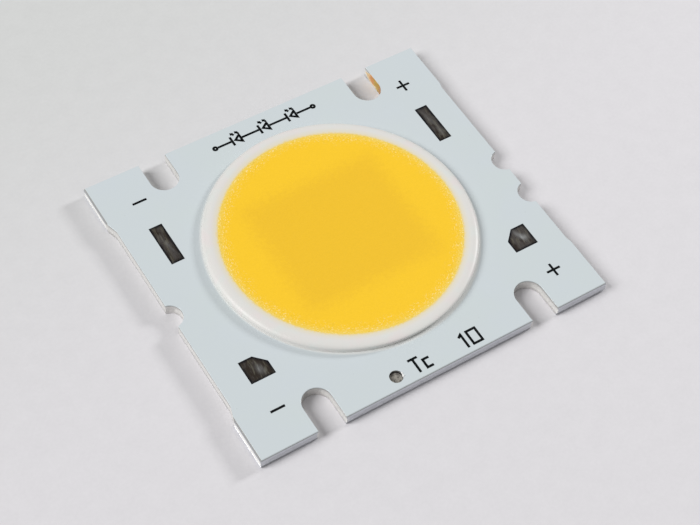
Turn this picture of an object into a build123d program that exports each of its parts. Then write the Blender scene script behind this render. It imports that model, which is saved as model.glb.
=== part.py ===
from build123d import *
import math
import os

# A chip-on-board light-emitting-diode array on a nearly square metal-core board.
# Millimetres. X runs along the front edge from the minus side to the plus side, Y from
# the front edge to the back edge, Z up. The origin is at the middle of the underside.

# Board stack, from the underside up
core_thickness = 1.40
dielectric_thickness = 0.08
copper_thickness = 0.07
mask_over_copper = 0.05
tin_thickness = 0.02

# Board outline, measured over the top face between the scored edges
board_width = 44.4
board_depth = 40.0

# The score is a shallow V from both faces. The snapped land between the two stands out.
score_depth = 0.40
score_setback = 0.12

# Punched and printed pattern, which sits a little to the right between the snapped edges
pattern_shift = 0.12
slot_width = 3.45
slot_reach = 4.75
slot_spacing = 27.5
relief_inset = 0.28
relief_length = 25.8
relief_flank_length = 0.9
notch_radius = 1.48
notch_inset = 0.05
notch_pitch = 5.35

# Contact pads, as openings in the mask, and the copper that reaches past them
pad_edge_distance = 3.50
bar_pad_width = 1.65
bar_pad_length = 5.50
bar_pad_y = 8.69
cut_pad_size = 3.00
cut_pad_corner = 1.29
cut_pad_y = -10.21
copper_margin = 0.25

# Measuring point for the case temperature, a shallow blind hole
probe_x = -4.89
probe_edge_distance = 1.45
probe_radius = 0.77
probe_depth = 0.35

# Light field. The dam keeps its distance from the board's side edges, where the pads are.
# Its bead's section is given outward from the gel's edge and up from the board's face.
field_x = -0.10
field_y = 0.25
dam_edge_distance = 6.58
dam_belly_run = 1.77
dam_belly_height = 0.42
dam_crest_run = 0.90
dam_crest_height = 0.95
dam_contact_run = 1.47
dam_inner_foot = 0.75
gel_height = 0.88

# The round back of the bead is drawn in this many flats, from its belly to its crest
dam_flats = 4

# Dies, wired in strings from the plus side to the minus side
die_size = 1.30
die_thickness = 0.15
die_glue_thickness = 0.02
die_pitch = 2.60
window_margin = 0.90
window_corner = 1.00

# Bond wires rise steeply from one landing and slope down to the next
wire_thickness = 0.05
wire_loop_height = 0.25
wire_inset = 0.20
wire_rise_run = 0.12
bus_gap = 0.35
bus_landing = 0.45
neck_width = 6.00

# Levels
dielectric_top = core_thickness + dielectric_thickness
copper_top = dielectric_top + copper_thickness
board_top = copper_top + mask_over_copper
die_floor = core_thickness + die_glue_thickness
die_top = die_floor + die_thickness
gel_top = board_top + gel_height

# Places that follow from the sizes above
slot_centre_y = board_depth / 2 - slot_reach + slot_width / 2
relief_line = board_width / 2 - relief_inset
notch_line = board_width / 2 - notch_inset
pad_line = board_width / 2 - pad_edge_distance
probe_y = probe_edge_distance - board_depth / 2
gel_radius = board_width / 2 - dam_edge_distance - dam_belly_run
dam_foot_radius = gel_radius - dam_inner_foot
dam_contact_radius = gel_radius + dam_contact_run
mask_opening_radius = (dam_foot_radius + dam_contact_radius) / 2

# As many strings as a square inside the dam's foot holds, and one die more in each string
string_count = int((math.sqrt(2) * dam_foot_radius - 2 * window_margin) / die_pitch)
dies_per_string = string_count + 1
array_length = (dies_per_string - 1) * die_pitch + die_size
array_depth = (string_count - 1) * die_pitch + die_size
window_length = array_length + 2 * window_margin
window_depth = array_depth + 2 * window_margin
bus_line = window_length / 2 + bus_gap

# Longer than anything that a cutting body has to clear
clear = board_width + board_depth


def at_pattern(x=0.0, y=0.0, z=0.0):
    """Place of a point of the punched and printed pattern."""
    return Pos(x + pattern_shift, y, z)


def at_field(x=0.0, y=0.0, z=0.0):
    """Place of a point measured from the light field's centre."""
    return Pos(field_x + x, field_y + y, z)


def blank():
    """Board blank with V flanks and the snapped land between them on all four edges."""
    web = board_top - 2 * score_depth
    land = Rectangle(board_width + 2 * score_setback, board_depth + 2 * score_setback)
    flank_angle = math.degrees(math.atan2(score_setback, score_depth))
    middle = extrude(Pos(0, 0, score_depth) * land, web)
    upper = extrude(Pos(0, 0, score_depth + web) * land, score_depth, taper=flank_angle)
    lower = extrude(Pos(0, 0, score_depth) * land, -score_depth, taper=flank_angle)
    return lower + middle + upper


def relief(side):
    """Shallow punched relief along the middle of one side edge."""
    spread = relief_flank_length * clear / relief_inset
    inner = side * relief_line
    outer = side * (relief_line + clear)
    return Polygon(
        (inner, -relief_length / 2),
        (inner, relief_length / 2),
        (outer, relief_length / 2 + spread),
        (outer, -relief_length / 2 - spread),
        align=None,
    )


def punchings():
    """Slots, half-round notches and side reliefs, as one cutting body."""
    run = slot_reach + score_setback + slot_width
    cut = at_pattern() * (relief(-1) + relief(1))
    for side in (-1, 1):
        x = side * slot_spacing / 2
        for end in (-1, 1):
            cut += at_pattern(x, end * slot_centre_y) * Circle(slot_width / 2)
            run_y = end * (slot_centre_y + run / 2)
            cut += at_pattern(x, run_y) * Rectangle(slot_width, run)
    cut += at_pattern(-notch_line, 0) * Circle(notch_radius)
    cut += at_pattern(notch_line, 0) * Circle(notch_radius)
    cut += at_pattern(notch_line, -notch_pitch) * Circle(notch_radius)
    return extrude(cut, clear, both=True)


def slab(body, low, high):
    """The part of a body between two levels."""
    return body & (Pos(0, 0, (low + high) / 2) * Box(clear, clear, high - low))


def bar_pad(side, grow=0.0):
    """Rectangular pad near the back edge, on the side given by -1 or 1."""
    face = Rectangle(bar_pad_width + 2 * grow, bar_pad_length + 2 * grow)
    return at_pattern(side * (pad_line - bar_pad_width / 2), bar_pad_y) * face


def cut_pad(side, grow=0.0):
    """Square pad near the front edge with its inner back corner cut off."""
    half = cut_pad_size / 2 + grow
    corner = cut_pad_corner + grow * (2 - math.sqrt(2))
    face = Polygon(
        (-half, -half),
        (half, -half),
        (half, half),
        (corner - half, half),
        (-half, half - corner),
        align=None,
    )
    if side < 0:
        face = mirror(face, Plane.YZ)
    return at_pattern(side * (pad_line - cut_pad_size / 2), cut_pad_y) * face


def probe_hole():
    """Blind hole of the measuring point, open at the top."""
    return at_pattern(probe_x, probe_y, board_top) * Cylinder(probe_radius, 2 * probe_depth)


def window():
    """Opening in the dielectric where the dies sit on the bare core."""
    face = RectangleRounded(window_length, window_depth, window_corner)
    return extrude(at_field(z=board_top / 2) * face, board_top, both=True)


def circuit(side):
    """Copper of one polarity: landing strip inside the dam, neck, rail and both pads."""
    keep = at_field(side * (bus_line + clear / 2)) * Rectangle(clear, 2 * clear)
    strip = at_field() * Circle(mask_opening_radius + copper_margin)
    rail_x = side * (pad_line - bar_pad_width / 2) + pattern_shift
    rail_width = bar_pad_width + 2 * copper_margin
    rail_y = (bar_pad_y + cut_pad_y) / 2
    rail = Pos(rail_x, rail_y) * Rectangle(rail_width, bar_pad_y - cut_pad_y)
    neck = Pos(rail_x / 2, field_y) * Rectangle(abs(rail_x), neck_width)
    face = (strip + neck) & keep
    face += rail
    face += bar_pad(side, copper_margin)
    face += cut_pad(side, copper_margin)
    return extrude(Pos(0, 0, dielectric_top) * face, copper_thickness)


def bead_back():
    """Points of the bead's back, on a quarter ellipse from the belly up to the crest."""
    points = []
    for i in range(dam_flats + 1):
        turn = math.pi / 2 * i / dam_flats
        run = dam_crest_run + (dam_belly_run - dam_crest_run) * math.cos(turn)
        rise = dam_belly_height + (dam_crest_height - dam_belly_height) * math.sin(turn)
        points.append((gel_radius + run, board_top + rise))
    return points


def dam_bead():
    """Dam bead, seated in the mask's opening and on the mask's inner rim."""
    outline = [
        (dam_foot_radius, dielectric_top),
        (mask_opening_radius, dielectric_top),
        (mask_opening_radius, board_top),
        (dam_contact_radius, board_top),
    ]
    outline += bead_back()
    outline.append((gel_radius, gel_top))
    section = Plane.XZ * Polygon(*outline, align=None)
    return at_field() * revolve(section, Axis.Z)


def gel_fill():
    """Gel poured up to the dam's lip, before anything below it is taken out."""
    outline = [
        (0, gel_top),
        (gel_radius, gel_top),
        (dam_foot_radius, dielectric_top),
        (dam_foot_radius, core_thickness),
        (0, core_thickness),
    ]
    section = Plane.XZ * Polygon(*outline, align=None)
    return at_field() * revolve(section, Axis.Z)


def along(count):
    """Places of a centred row of equal pitch."""
    return [(i - (count - 1) / 2) * die_pitch for i in range(count)]


def block(x, y, floor, thickness):
    """Square block of a die's size on a given floor."""
    return at_field(x, y, floor + thickness / 2) * Box(die_size, die_size, thickness)


def wire(start, end, y):
    """Bond wire at one place across the array, between two (x, level) landings."""
    t = wire_thickness
    crown = max(start[1], end[1]) + wire_loop_height
    outline = Polyline(
        (start[0], 0, start[1]),
        (start[0] + wire_rise_run, 0, crown),
        (end[0], 0, end[1]),
        (end[0] - 2 * t, 0, end[1]),
        (start[0] + wire_rise_run + t / 2, 0, crown - 2 * t),
        (start[0] + t, 0, start[1]),
        close=True,
    )
    return at_field(0, y) * extrude(make_face(outline), t / 2, both=True)


def string_wires(y):
    """Wires of one string: bus to first die, die to die, and last die to bus."""
    columns = along(dies_per_string)
    reach = die_size / 2 - wire_inset
    landing = bus_line + bus_landing
    ends = [(-landing, copper_top)]
    for x in columns:
        ends.append((x - reach, die_top))
        ends.append((x + reach, die_top))
    ends.append((landing, copper_top))
    return [wire(ends[i], ends[i + 1], y) for i in range(0, len(ends), 2)]


def export_group(solids, name):
    """Write several separate solids as one sub-part."""
    export_step(Compound(label=name, children=solids), "parts/" + name + ".step")


os.makedirs("parts", exist_ok=True)

# Board layers, all cut by the same punchings
board = blank() - punchings()
hole = probe_hole()
base_plate = slab(board, 0, core_thickness) - hole
dielectric = slab(board, core_thickness, dielectric_top) - window() - hole
minus_circuit = circuit(-1)
plus_circuit = circuit(1)

# The mask covers the copper and leaves the pads, the light field and the probe bare
pad_faces = {
    "minus_pad_back": bar_pad(-1),
    "minus_pad_front": cut_pad(-1),
    "plus_pad_back": bar_pad(1),
    "plus_pad_front": cut_pad(1),
}
mask = slab(board, dielectric_top, board_top) - hole
mask -= extrude(at_field(z=core_thickness) * Circle(mask_opening_radius), board_top)
mask -= [minus_circuit, plus_circuit]
for face in pad_faces.values():
    mask -= extrude(Pos(0, 0, dielectric_top) * face, board_top)

# Dies on their glue, and the wires that join each string from bus to bus
dies = []
glue_spots = []
wires = []
for y in along(string_count):
    for x in along(dies_per_string):
        dies.append(block(x, y, die_floor, die_thickness))
        glue_spots.append(block(x, y, core_thickness, die_glue_thickness))
    wires += string_wires(y)

# Dam on the mask's inner rim, and the gel that fills what is left inside it
dam = dam_bead() - minus_circuit - plus_circuit
gel = gel_fill() - dielectric - minus_circuit - plus_circuit
gel -= dies + glue_spots + wires

export_step(base_plate, "parts/base_plate.step")
export_step(dielectric, "parts/dielectric_layer.step")
export_step(minus_circuit, "parts/minus_copper.step")
export_step(plus_circuit, "parts/plus_copper.step")
export_step(mask, "parts/solder_mask.step")
for name, face in pad_faces.items():
    tin = extrude(Pos(0, 0, copper_top) * face, tin_thickness)
    export_step(tin, "parts/" + name + ".step")
export_step(dam, "parts/dam_ring.step")
export_step(gel, "parts/phosphor_gel.step")
export_group(dies, "led_dies")
export_group(glue_spots, "die_glue")
export_group(wires, "bond_wires")
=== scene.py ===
import logging
import math
from dataclasses import dataclass
from enum import Enum
from typing import Any, Iterable, Sequence

import bmesh
import bpy
from mathutils import Matrix, Vector, noise


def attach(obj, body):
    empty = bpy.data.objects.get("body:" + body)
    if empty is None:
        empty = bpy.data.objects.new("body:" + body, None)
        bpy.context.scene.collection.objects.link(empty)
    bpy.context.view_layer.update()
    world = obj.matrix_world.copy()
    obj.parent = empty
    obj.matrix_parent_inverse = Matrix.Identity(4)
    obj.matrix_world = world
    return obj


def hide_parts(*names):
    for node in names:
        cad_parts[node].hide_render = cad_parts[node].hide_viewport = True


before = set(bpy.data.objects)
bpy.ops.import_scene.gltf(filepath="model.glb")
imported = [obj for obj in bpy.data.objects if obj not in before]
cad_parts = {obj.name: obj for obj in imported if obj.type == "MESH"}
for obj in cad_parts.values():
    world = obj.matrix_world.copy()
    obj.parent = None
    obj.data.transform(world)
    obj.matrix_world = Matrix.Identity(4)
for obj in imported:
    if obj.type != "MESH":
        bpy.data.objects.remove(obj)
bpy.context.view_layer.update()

# Sizes are in millimetres in the classes below and become metres when a mesh is made.
# X runs along the front edge from the minus side to the plus side, Y to the back, Z up.
MM = 0.001
BODY = "root"
SHADER = "ShaderNodeTree"

# Levels of the board's layers, from the underside up
CORE_TOP = 1.40
DIELECTRIC_TOP = 1.48
COPPER_TOP = 1.55
BOARD_TOP = 1.60
GEL_TOP = 2.48

# Light field, probe hole and the sideways place of the punched and printed pattern
FIELD = (-0.10, 0.25)
GEL_RADIUS = 13.85
PROBE = (-4.77, -18.55)
PATTERN_SHIFT = 0.12

Point = tuple[float, float]
Point3 = tuple[float, float, float]
Colour = tuple[float, float, float]
Stroke = tuple[Sequence[Point], bool]

log = logging.getLogger("led_array")


class Edge(Enum):
    """How a stretch of the board's outline was made."""

    SCORED = 0
    PUNCHED = 1


class Slot(Enum):
    """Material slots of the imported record."""

    CORE = "core_aluminium"
    DIELECTRIC = "dielectric"
    MASK = "white_mask"
    TIN = "tin"
    SILICONE = "white_silicone"
    PHOSPHOR = "phosphor_silicone"


# Node graphs


class Graph:
    """Adds nodes and links to one node tree."""

    def __init__(self, tree: bpy.types.NodeTree) -> None:
        """Keeps the tree that the other methods add to."""
        self.tree = tree

    def feed(self, node: bpy.types.Node, key: Any, value: Any) -> None:
        """Links a socket to an input, or writes a constant on it.

        Args:
            node: the node whose input is fed.
            key: the input's name or its number.
            value: a socket, or a constant.
        """
        if isinstance(value, bpy.types.NodeSocket):
            self.tree.links.new(value, node.inputs[key])
        else:
            node.inputs[key].default_value = value

    def add(self, kind: str, inputs: dict[Any, Any] | None = None, **settings: Any) -> Any:
        """Adds a node.

        Args:
            kind: the node's type.
            inputs: constants or sockets by input name or number.
            **settings: properties of the node itself.

        Returns:
            The new node.
        """
        node = self.tree.nodes.new(kind)
        for key, value in settings.items():
            setattr(node, key, value)
        for key, value in (inputs or {}).items():
            self.feed(node, key, value)
        return node

    def math(self, operation: str, *values: Any, clamp: bool = False) -> Any:
        """Returns the output of a math node on the given values."""
        inputs = dict(enumerate(values))
        return self.add("ShaderNodeMath", inputs, operation=operation, use_clamp=clamp).outputs[0]

    def plus(self, first: Any, second: Any) -> Any:
        """Returns a sum."""
        return self.math("ADD", first, second)

    def times(self, first: Any, second: Any) -> Any:
        """Returns a product."""
        return self.math("MULTIPLY", first, second)

    def vector(self, operation: str, *values: Any, output: int = 0) -> Any:
        """Returns an output of a vector math node, the vector at 0 or the number at 1."""
        node = self.add("ShaderNodeVectorMath", dict(enumerate(values)), operation=operation)
        return node.outputs[output]

    def scaled(self, vector: Any, factor: Any) -> Any:
        """Returns a vector times a number."""
        inputs = {0: vector, "Scale": factor}
        return self.add("ShaderNodeVectorMath", inputs, operation="SCALE").outputs[0]

    def combine(self, x: Any, y: Any, z: Any) -> Any:
        """Returns a vector of three values."""
        return self.add("ShaderNodeCombineXYZ", {0: x, 1: y, 2: z}).outputs[0]

    def ramp(self, value: Any, low: float, high: float, smooth: bool = True) -> Any:
        """Returns 0 below low and 1 above high, or the other way round if low is larger."""
        rising = (low, high, 0.0, 1.0) if low < high else (high, low, 1.0, 0.0)
        inputs = dict(enumerate((value, *rising)))
        kind = "SMOOTHSTEP" if smooth else "LINEAR"
        node = self.add("ShaderNodeMapRange", inputs, interpolation_type=kind, clamp=True)
        return node.outputs[0]

    def span(self, value: Any, low: float, high: float) -> Any:
        """Returns a value between 0 and 1 spread from low to high."""
        return self.add("ShaderNodeMapRange", {0: value, 3: low, 4: high}, clamp=True).outputs[0]

    def mix(self, factor: Any, first: Any, second: Any, blend: str = "MIX") -> Any:
        """Returns the mix of two colours."""
        inputs = {0: factor, 6: colour4(first), 7: colour4(second)}
        return self.add("ShaderNodeMix", inputs, data_type="RGBA", blend_type=blend).outputs[2]

    def noise(self, vector: Any, scale: Any, detail: float = 2.0, rough: float = 0.5) -> Any:
        """Returns the value of a noise texture."""
        inputs = {"Vector": vector, "Scale": scale, "Detail": detail, "Roughness": rough}
        return self.add("ShaderNodeTexNoise", inputs).outputs[0]

    def group(self, tree: bpy.types.NodeTree, *values: Any) -> Any:
        """Adds a node group, feeds its inputs in their order and returns its outputs."""
        node = self.add("ShaderNodeGroup", node_tree=tree)
        for number, value in enumerate(values):
            self.feed(node, number, colour4(value))
        return node.outputs


def colour4(value: Any) -> Any:
    """Returns a colour with its fourth number, and anything else as it is."""
    return (*value, 1.0) if isinstance(value, tuple) and len(value) == 3 else value


def srgb(*channels: float) -> Colour:
    """Returns the linear colour of screen values from 11 to 255."""
    return tuple(((value / 255 + 0.055) / 1.055) ** 2.4 for value in channels)


def open_tree(kind: str, name: str, inputs: str, outputs: str) -> tuple[Graph, Any, Any]:
    """Makes a node group with its sockets.

    Args:
        kind: the tree's type.
        name: the group's name.
        inputs: the inputs' names, each a number unless a colon and a type follow.
        outputs: the outputs' names in the same way.

    Returns:
        The graph helper, the group's inputs as sockets, and the group's output node.
    """
    tree = bpy.data.node_groups.new(name, kind)
    for side, labels in (("INPUT", inputs), ("OUTPUT", outputs)):
        for item in labels.split():
            label, _, form = item.partition(":")
            socket = "NodeSocket" + (form or "Float")
            tree.interface.new_socket(label, in_out=side, socket_type=socket)
    graph = Graph(tree)
    return graph, graph.add("NodeGroupInput").outputs, graph.add("NodeGroupOutput")


class Effects:
    """Node groups that several finishes share."""

    def __init__(self) -> None:
        """Builds every group once."""
        self.mottle = self._mottle()
        self.grain = self._grain()
        self.specks = self._specks()
        self.streaks = self._streaks()

    @staticmethod
    def _mottle() -> bpy.types.NodeTree:
        """Soft drift of a colour towards two others, as in poured and sprayed coats."""
        sockets = "Place:Vector Colour:Color Warm:Color Cool:Color Scale Amount"
        g, given, out = open_tree(SHADER, "soft_mottle", sockets, "Colour:Color")
        tone = given["Colour"]
        for label, offset in (("Warm", (0.0, 0.0, 0.0)), ("Cool", (17.3, -9.1, 4.7))):
            cloud = g.noise(g.vector("ADD", given["Place"], offset), given["Scale"], 3.0)
            share = g.times(g.ramp(cloud, 0.45, 0.72), given["Amount"])
            tone = g.mix(share, tone, given[label])
        g.feed(out, "Colour", tone)
        return g.tree

    @staticmethod
    def _grain() -> bpy.types.NodeTree:
        """Fine and coarse grain of a surface as one value and one height."""
        sockets = "Place:Vector Fine Coarse Low High"
        g, given, out = open_tree(SHADER, "surface_grain", sockets, "Value Height")
        fine, coarse = (g.noise(given["Place"], given[label]) for label in ("Fine", "Coarse"))
        half = g.times(g.plus(fine, coarse), 0.5)
        inputs = {0: half, 1: 0.3, 2: 0.7, 3: given["Low"], 4: given["High"]}
        g.feed(out, "Value", g.add("ShaderNodeMapRange", inputs).outputs[0])
        g.feed(out, "Height", half)
        return g.tree

    @staticmethod
    def _specks() -> bpy.types.NodeTree:
        """Small separate flecks that a coat, a pour or a broken edge shows."""
        g, given, out = open_tree(SHADER, "specks", "Place:Vector Scale Share Size", "Mask")
        inputs = {"Vector": given["Place"], "Scale": given["Scale"]}
        cells = g.add("ShaderNodeTexVoronoi", inputs).outputs
        chance = g.add("ShaderNodeSeparateColor", {0: cells["Color"]}).outputs[0]
        chosen = g.math("LESS_THAN", chance, given["Share"])
        near = g.math("SUBTRACT", given["Size"], cells["Distance"])
        g.feed(out, "Mask", g.times(chosen, g.math("MULTIPLY", near, 8.0, clamp=True)))
        return g.tree

    @staticmethod
    def _streaks() -> bpy.types.NodeTree:
        """Long streaks along X of the place that is given, as rolling and drawing leave."""
        g, given, out = open_tree(SHADER, "streaks", "Place:Vector Scale Stretch", "Value")
        along = g.vector("MULTIPLY", given["Place"], g.combine(given["Stretch"], 1.0, 1.0))
        lines = g.noise(along, given["Scale"], 4.0, 0.6)
        g.feed(out, "Value", g.ramp(lines, 0.25, 0.75, smooth=False))
        return g.tree


# Finishes


class Surface(Graph):
    """Graph of one material with its shader, its place in millimetres and its grain."""

    def __init__(self, name: str, effects: Effects, grain: Sequence[float]) -> None:
        """Starts the material.

        Args:
            name: the material's name.
            effects: the shared node groups.
            grain: scales of the fine and the coarse grain, and its lowest and highest value.
        """
        self.material = bpy.data.materials.new(name)
        self.material.use_nodes = True
        super().__init__(self.material.node_tree)
        self.tree.nodes.clear()
        self.shader = self.add("ShaderNodeBsdfPrincipled")
        self.add("ShaderNodeOutputMaterial", {0: self.shader.outputs[0]})
        self.effects = effects
        self.place = self.scaled(self.add("ShaderNodeTexCoord").outputs["Object"], 1 / MM)
        self.value, self.height = self.group(effects.grain, self.place, *grain)

    def attribute(self, name: str) -> Any:
        """Returns a number that the mesh carries."""
        return self.add("ShaderNodeAttribute", attribute_name=name).outputs["Fac"]

    def facing(self, axis: int) -> Any:
        """Returns how far the true surface faces along an axis, either way."""
        normal = self.add("ShaderNodeNewGeometry").outputs["True Normal"]
        return self.math("ABSOLUTE", self.add("ShaderNodeSeparateXYZ", {0: normal}).outputs[axis])

    def flat(self, centre: Point) -> Any:
        """Returns the place in plan from a centre."""
        from_centre = self.vector("SUBTRACT", self.place, (*centre, 0.0))
        return self.vector("MULTIPLY", from_centre, (1.0, 1.0, 0.0))

    def radius(self, centre: Point) -> Any:
        """Returns the distance in plan from a centre."""
        return self.vector("LENGTH", self.flat(centre), output=1)

    def ragged(self, value: Any, reach: float, *cloud: float) -> Any:
        """Returns a value moved up and down by a noise of a scale, detail and roughness."""
        return self.plus(value, self.span(self.noise(self.place, *cloud), -reach, reach))

    def shaded(self, colour: Any, share: Any) -> Any:
        """Returns a colour times a number."""
        grey = self.add("ShaderNodeCombineColor", {0: share, 1: share, 2: share}).outputs[0]
        return self.mix(1.0, colour, grey, "MULTIPLY")

    def streaks(self, place: Any, scale: float, stretch: float) -> Any:
        """Returns the shared streaks."""
        return self.group(self.effects.streaks, place, scale, stretch)[0]

    def specks(self, scale: float, share: float, size: float) -> Any:
        """Returns the mask of the shared specks."""
        return self.group(self.effects.specks, self.place, scale, share, size)[0]


@dataclass(frozen=True)
class Finish:
    """A finish of its own name, gloss, metal share and grain."""

    label: str
    metallic: float = 0.0
    specular: float = 0.5
    grain: tuple[float, ...] = (12.0, 3.0, 0.4, 0.6)
    relief: float = 0.006

    def make(self, effects: Effects) -> bpy.types.Material:
        """Builds the material.

        Args:
            effects: the shared node groups.

        Returns:
            The new material.
        """
        g = Surface(self.label, effects, self.grain)
        g.feed(g.shader, "Metallic", self.metallic)
        g.feed(g.shader, "Specular IOR Level", self.specular)
        g.feed(g.shader, "Roughness", g.value)
        g.feed(g.shader, "Base Color", self.detail(g))
        bump = {"Strength": 1.0, "Distance": self.relief * MM, "Height": g.height}
        g.feed(g.shader, "Normal", g.add("ShaderNodeBump", bump).outputs[0])
        return g.material

    def detail(self, g: Surface) -> Any:
        """Returns the finish's own colour, and may change its gloss and height."""
        raise NotImplementedError


@dataclass(frozen=True)
class Mottled(Finish):
    """A coat whose colour drifts between three tones."""

    colour: Colour = (0.4, 0.4, 0.4)
    warm: Colour = (0.4, 0.4, 0.4)
    cool: Colour = (0.4, 0.4, 0.4)
    scale: float = 1.0
    amount: float = 0.8

    def detail(self, g: Surface) -> Any:
        """Returns the drift of tone."""
        tones = (self.colour, self.warm, self.cool)
        return g.group(g.effects.mottle, g.place, *tones, self.scale, self.amount)[0]


@dataclass(frozen=True)
class SolderMask(Mottled):
    """Cold white mask with half gloss, greyed on its scored sides, painted shade on its probe
    hole's wall, and a brightened film ring by the dam.
    """

    grain: tuple[float, ...] = (7.0, 1.6, 0.16, 0.26)
    colour: Colour = srgb(205, 213, 216)
    warm: Colour = srgb(205, 214, 214)
    cool: Colour = srgb(205, 213, 218)
    scale: float = 0.16
    amount: float = 0.5
    dust: Colour = srgb(150, 150, 148)
    # Grey on the mask's scored sides that face left and right.
    scored_side_grey: Colour = (0.30, 0.30, 0.29)
    # Near-black painted shade on the probe hole's wall.
    probe_wall_shade: Colour = (0.018, 0.018, 0.024)
    probe_radius: float = 0.80
    # The ring beside the dam is partly a real silicone film and partly painted light. It is
    # brighter than the silicone itself and stands in for light that the lit bead bounces onto the
    # mask.
    film_glow: Colour = srgb(236, 236, 233)
    film_glow_radius: float = 15.86
    film_glow_fade: float = 0.18

    def detail(self, g: Surface) -> Any:
        """Returns the mask's drift of tone, dust, greyed sides, brightened film ring and the probe
        wall's painted shade.
        """
        dusty = g.mix(g.times(g.specks(1.4, 0.05, 0.13), 0.25), super().detail(g), self.dust)
        sideways = g.ramp(g.facing(0), 0.6, 0.8)
        scored = g.times(sideways, g.span(g.attribute("cut"), 1.0, 0.0))
        edged = g.mix(scored, dusty, self.scored_side_grey)
        # The probe hole's wall gets near-black painted shade.
        near = g.ramp(g.radius(PROBE), self.probe_radius + 0.05, self.probe_radius)
        shaded_bore = g.times(g.ramp(g.facing(2), 0.6, 0.4), near)
        # Film ring, brightened as painted light.
        ends = (self.film_glow_radius + self.film_glow_fade, self.film_glow_radius - self.film_glow_fade)
        with_film_glow = g.mix(g.times(g.ramp(g.radius(FIELD), *ends), 0.75), edged, self.film_glow)
        return g.mix(shaded_bore, with_film_glow, self.probe_wall_shade)


@dataclass(frozen=True)
class Silicone(Mottled):
    """White silicone of the dam, yellowed where it meets the gel."""

    grain: tuple[float, ...] = (5.0, 0.9, 0.34, 0.46)
    relief: float = 0.015
    colour: Colour = srgb(222, 220, 216)
    warm: Colour = srgb(225, 218, 216)
    cool: Colour = srgb(219, 222, 218)
    scale: float = 0.55
    amount: float = 0.9
    inner: Colour = srgb(226, 218, 196)
    gel: Colour = srgb(236, 208, 122)

    def detail(self, g: Surface) -> Any:
        """Returns the mottle of the bead with its yellowed inner lip."""
        radius = g.radius(FIELD)
        lip = g.ramp(radius, GEL_RADIUS + 0.9, GEL_RADIUS + 0.1)
        lipped = g.mix(lip, super().detail(g), self.inner)
        frayed = g.ragged(radius, 0.30, 3.2, 3.0, 0.7)
        return g.mix(g.ramp(frayed, GEL_RADIUS + 0.30, GEL_RADIUS - 0.10), lipped, self.gel)


@dataclass(frozen=True)
class PhosphorGel(Finish):
    """Yellow phosphor gel, duller over the dies, paler towards the dam, with painted highlight and
    shade flecks at its rim.
    """

    grain: tuple[float, ...] = (8.0, 2.5, 0.34, 0.52)
    relief: float = 0.012
    colour: Colour = (0.955, 0.590, 0.019)
    middle: Colour = (0.885, 0.535, 0.020)
    rim: Colour = srgb(238, 211, 108)
    pale: Colour = srgb(253, 232, 172)
    olive: Colour = srgb(222, 186, 52)
    window: Point = (17.2, 15.4)
    squeeze: float = 1.8

    def detail(self, g: Surface) -> Any:
        """Returns the colour with the duller square over the dies and the rim's painted highlight
        and shade flecks.
        """
        flat, radius = g.flat(FIELD), g.radius(FIELD)
        apart = g.add("ShaderNodeSeparateXYZ", {0: g.vector("ABSOLUTE", flat)}).outputs
        beyond = [g.math("SUBTRACT", apart[i], self.window[i] / 2) for i in (0, 1)]
        edge = g.ragged(g.math("SMOOTH_MAX", *beyond, 2.0), 2.2, 1.6, 5.0, 0.75)
        body = g.mix(g.ramp(edge, 1.6, -1.6), self.colour, self.middle)
        tinted = g.shaded(body, g.span(g.noise(g.place, 6.0, 3.0, 0.7), 0.92, 1.08))
        frayed = g.ragged(radius, 0.35, 3.2, 3.0, 0.7)
        fade = g.math("POWER", g.ramp(frayed, GEL_RADIUS - 1.2, GEL_RADIUS + 0.1, False), 2.4)
        faded = g.mix(fade, tinted, self.rim)
        inner = g.ragged(radius, 0.9, 0.45, 2.0, 0.5)
        band = g.ramp(inner, GEL_RADIUS - 1.8, GEL_RADIUS - 0.5)
        around = g.scaled(g.vector("NORMALIZE", flat), GEL_RADIUS)
        polar = g.vector("ADD", around, g.combine(0.0, 0.0, g.times(radius, self.squeeze)))
        bubble_glint_noise = g.noise(polar, 4.4, 2.0, 0.60)
        # Pale flecks are painted highlights of tiny bubbles at the rim; olive flecks are painted
        # shade between them.
        flecks = ((0.43, 0.33, 0.75, self.olive), (0.58, 0.67, 0.85, self.pale))
        for low, high, share, tone in flecks:
            shown = g.times(g.ramp(bubble_glint_noise, low, high), band)
            faded = g.mix(g.times(shown, share), faded, tone)
        return faded


@dataclass(frozen=True)
class Metal(Finish):
    """Bare metal with streaks, dull and bright patches and fine grain."""

    grain: tuple[float, ...] = (12.0, 3.0, 0.28, 0.46)
    relief: float = 0.004
    colour: Colour = (0.62, 0.63, 0.65)
    dull: Colour = (0.50, 0.50, 0.51)
    streak_scale: float = 3.0

    def detail(self, g: Surface) -> Any:
        """Returns the streaked and patched colour and adds the streaks to the relief."""
        streaks = g.streaks(g.place, self.streak_scale, 0.05)
        g.height = g.plus(g.height, streaks)
        tone = g.group(g.effects.mottle, g.place, self.colour, self.dull, self.dull, 0.8, 0.6)
        return g.mix(g.times(streaks, 0.4), tone[0], self.dull)


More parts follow.
